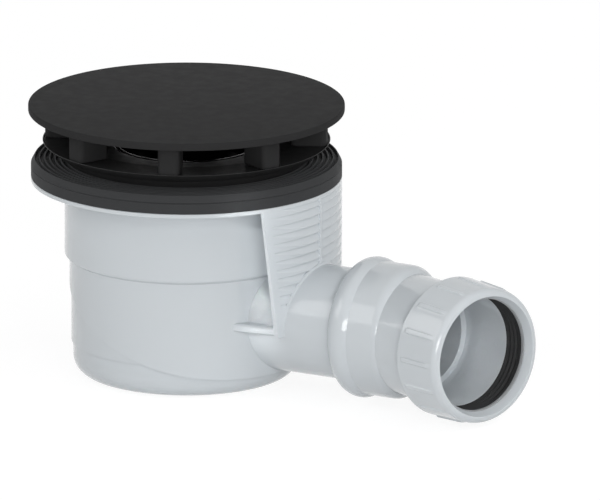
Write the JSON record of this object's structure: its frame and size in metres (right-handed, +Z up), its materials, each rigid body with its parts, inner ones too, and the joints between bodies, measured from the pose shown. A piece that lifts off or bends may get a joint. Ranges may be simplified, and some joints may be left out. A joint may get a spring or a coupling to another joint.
{
  "type": "shower trap",
  "caption": "Shower trap with a round cover on legs over a drain dish, rubber gaskets, a stepped body with a fluted skirt, and an angled swivel outlet with a compression nut.",
  "frame": {"origin": "centre of the trap body's flat base", "axes": "+Z up along the body's axis, +X along the outlet stub away from the body, +Y to the left of the outlet; at rest the elbow leans towards -Y"},
  "size_m": [0.1962, 0.113, 0.0987],
  "materials": {
    "white_plastic": "semi-gloss moulded plastic",
    "black_cover": "matt, faintly textured",
    "black_plastic": "satin moulded plastic",
    "grey_rubber": "matt rubber",
    "black_rubber": "matt rubber",
    "grey_washer": "plain moulded plastic"
  },
  "bodies": {
    "trap": {"trap_body": "white_plastic", "lower_gasket": "grey_rubber", "ribbed_gasket": "grey_rubber", "flange_seal": "black_rubber", "waste_flange": "black_plastic", "cover": "black_cover", "dip_tube": "black_plastic", "dip_tube_seal": "black_rubber", "trap_cup": "white_plastic"},
    "elbow": {"outlet_elbow": "white_plastic", "socket_seal": "black_rubber", "compression_ring": "black_rubber", "slip_washer": "grey_washer"},
    "nut": {"compression_nut": "white_plastic"}
  },
  "joints": [
    {"name": "elbow_turn", "type": "hinge", "parent": "trap", "child": "elbow", "pos_m": [0.0759, 0, 0.0263], "axis": [1, 0, 0], "continuous": true},
    {"name": "nut_turn", "type": "hinge", "parent": "elbow", "child": "nut", "pos_m": [0.13225, -0.01506, 0.0263], "axis": [0.9444, -0.3289, 0], "continuous": true}
  ]
}
